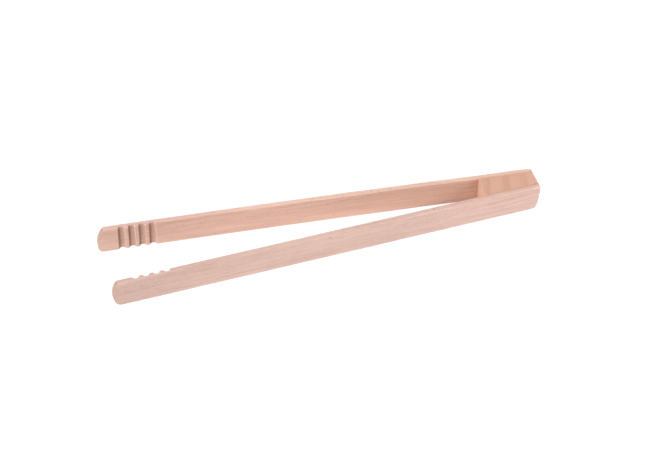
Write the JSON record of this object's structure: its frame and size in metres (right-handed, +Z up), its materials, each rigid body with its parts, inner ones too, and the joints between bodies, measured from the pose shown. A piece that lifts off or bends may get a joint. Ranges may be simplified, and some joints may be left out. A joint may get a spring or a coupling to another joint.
{
  "type": "wooden kitchen tongs",
  "caption": "Long wooden tongs: flat springy arms glued to a tapered block at the butt, with grip grooves across the inner faces near rounded tips.",
  "frame": {"origin": "on the surface the tongs lie on, under the middle of their box", "axes": "+X from the tips to the glued butt, Y across the opening with the right arm at +Y, +Z up from the surface; the arms stand on their narrow edges"},
  "size_m": [0.3, 0.0566, 0.019],
  "materials": {
    "arm_wood": "bare sanded beech, pale pinkish, fine flecks along the arm",
    "block_wood": "bare sanded beech cut across the grain on top, warmer than the arms",
    "wood_glue": "set wood glue, thin amber line"
  },
  "bodies": {
    "handle": {"wedge_block": "block_wood", "left_glue_film": "wood_glue", "right_glue_film": "wood_glue", "left_arm_root": "arm_wood", "right_arm_root": "arm_wood"},
    "left_arm": {"left_arm_blade": "arm_wood"},
    "right_arm": {"right_arm_blade": "arm_wood"}
  },
  "joints": [
    {"name": "left_arm_flex", "type": "hinge", "parent": "handle", "child": "left_arm", "pos_m": [0.068, -0.01102, 0.0095], "axis": [0, 0, -1], "range_deg": [0, 6.3], "stiffness_Nm_per_rad": 12.6},
    {"name": "right_arm_flex", "type": "hinge", "parent": "handle", "child": "right_arm", "pos_m": [0.068, 0.01102, 0.0095], "axis": [0, 0, 1], "range_deg": [0, 6.3], "stiffness_Nm_per_rad": 12.6}
  ]
}
